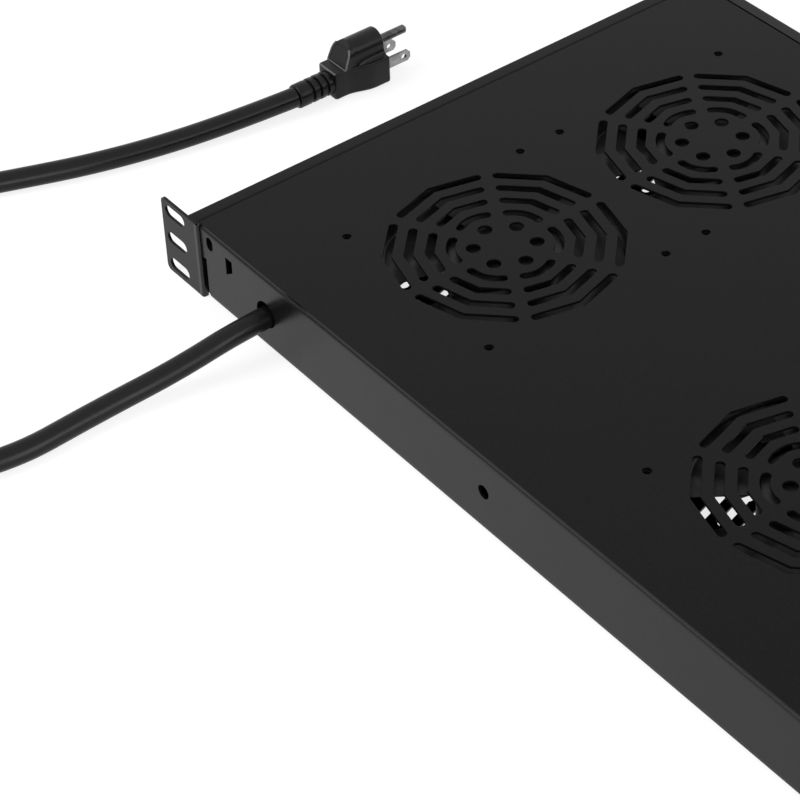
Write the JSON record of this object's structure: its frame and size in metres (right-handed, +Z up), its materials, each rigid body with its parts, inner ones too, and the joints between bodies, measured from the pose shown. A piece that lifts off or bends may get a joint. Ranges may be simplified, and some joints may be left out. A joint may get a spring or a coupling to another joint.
{
  "type": "rack fan tray",
  "caption": "Low rack-mount tray with slotted ears, axial fans under a flat cover with bent web vents, an open underside and a mains lead with a three-pin plug.",
  "frame": {"origin": "centre of the tray's footprint on the surface that it stands on, without the mains lead", "axes": "+X to the right along the front panel as seen from the front, +Y to the rear, +Z up, along the fans' axes"},
  "size_m": [0.6167, 0.5627, 0.0441],
  "materials": {
    "black_powder_coat": "satin",
    "black_fan_plastic": "matte",
    "motor_steel": "satin",
    "brass": "satin",
    "black_screws": "satin",
    "black_nylon": "matte",
    "terminal_plastic": "matte",
    "black_pvc": "satin"
  },
  "bodies": {
    "tray": {"cord_saddle_base": "black_nylon", "cord_saddle_screws": "black_screws", "cord_saddle_strap": "black_nylon", "corner_bracket_left": "black_powder_coat", "corner_bracket_right": "black_powder_coat", "fan_bearing_1": "brass", "fan_bearing_2": "brass", "fan_bearing_3": "brass", "fan_bearing_4": "brass", "fan_frame_1": "black_fan_plastic", "fan_frame_2": "black_fan_plastic", "fan_frame_3": "black_fan_plastic", "fan_frame_4": "black_fan_plastic", "fan_screws": "black_screws", "front_panel": "black_powder_coat", "mains_lead_coil": "black_pvc", "mains_lead_plug_end": "black_pvc", "mains_lead_wall_end": "black_pvc", "motor_stator_1": "motor_steel", "motor_stator_2": "motor_steel", "motor_stator_3": "motor_steel", "motor_stator_4": "motor_steel", "plug_blades": "brass", "plug_body": "black_pvc", "plug_ground_pin": "brass", "plug_strain_relief": "black_pvc", "rail_screws": "black_screws", "rear_angle": "black_powder_coat", "rear_panel": "black_powder_coat", "side_angle_left": "black_powder_coat", "side_angle_right": "black_powder_coat", "side_rail_left": "black_powder_coat", "side_rail_right": "black_powder_coat", "terminal_block": "terminal_plastic", "terminal_screws": "brass", "top_cover": "black_powder_coat"},
    "rotor_1": {"impeller_1": "black_fan_plastic", "fan_shaft_1": "motor_steel"},
    "rotor_2": {"impeller_2": "black_fan_plastic", "fan_shaft_2": "motor_steel"},
    "rotor_3": {"impeller_3": "black_fan_plastic", "fan_shaft_3": "motor_steel"},
    "rotor_4": {"impeller_4": "black_fan_plastic", "fan_shaft_4": "motor_steel"}
  },
  "joints": [
    {"name": "fan_1_spin", "type": "hinge", "parent": "tray", "child": "rotor_1", "pos_m": [-0.105, -0.06345, 0.03], "axis": [0, 0, 1], "continuous": true},
    {"name": "fan_2_spin", "type": "hinge", "parent": "tray", "child": "rotor_2", "pos_m": [0.105, -0.06345, 0.03], "axis": [0, 0, 1], "continuous": true},
    {"name": "fan_3_spin", "type": "hinge", "parent": "tray", "child": "rotor_3", "pos_m": [-0.105, 0.06655, 0.03], "axis": [0, 0, 1], "continuous": true},
    {"name": "fan_4_spin", "type": "hinge", "parent": "tray", "child": "rotor_4", "pos_m": [0.105, 0.06655, 0.03], "axis": [0, 0, 1], "continuous": true}
  ]
}
